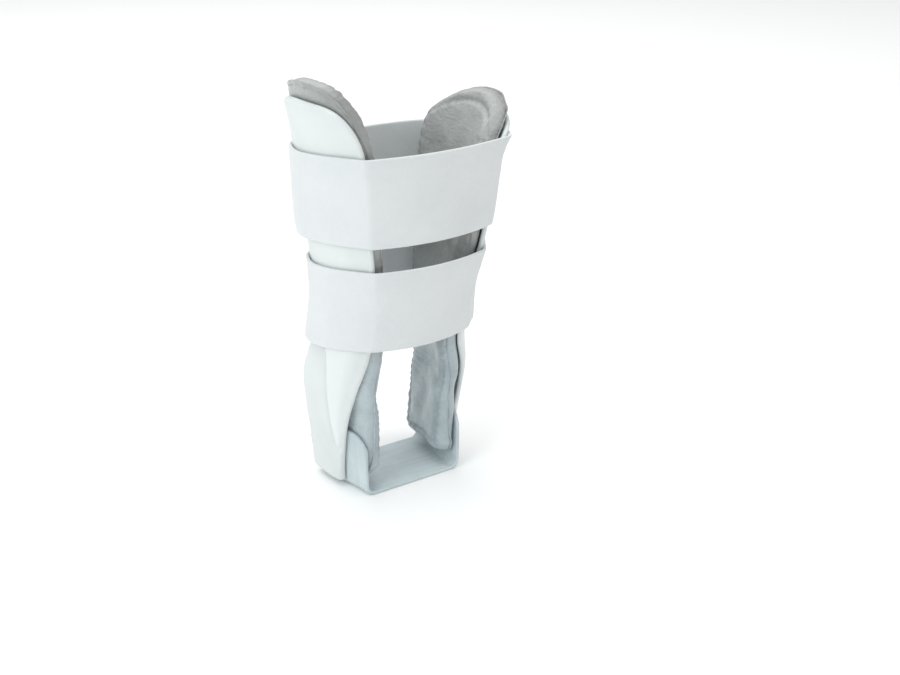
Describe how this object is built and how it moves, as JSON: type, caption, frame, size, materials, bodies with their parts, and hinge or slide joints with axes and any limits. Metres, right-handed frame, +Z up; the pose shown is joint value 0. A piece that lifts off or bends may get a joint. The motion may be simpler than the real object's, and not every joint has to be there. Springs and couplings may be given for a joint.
{
  "type": "stirrup ankle brace",
  "caption": "Stirrup ankle brace, closed as worn: contoured rigid side shells, padded liners, wide wrap-round hook-and-loop straps and a heel strap.",
  "frame": {"origin": "under the middle of the heel strap, on the surface the brace stands on", "axes": "+Z up along the shells, +Y to the rear, +X to the inner (medial) side"},
  "size_m": [0.1275, 0.0914, 0.2429],
  "materials": {
    "shell": "satin",
    "liner": "satin film over foam",
    "strap": "brushed loop fabric",
    "heel_web": "woven webbing"
  },
  "bodies": {
    "root": {"lateral_shell": "shell", "medial_shell": "shell", "lateral_liner": "liner", "medial_liner": "liner", "upper_strap": "strap", "lower_strap": "strap", "heel_strap": "heel_web"}
  },
  "joints": []
}
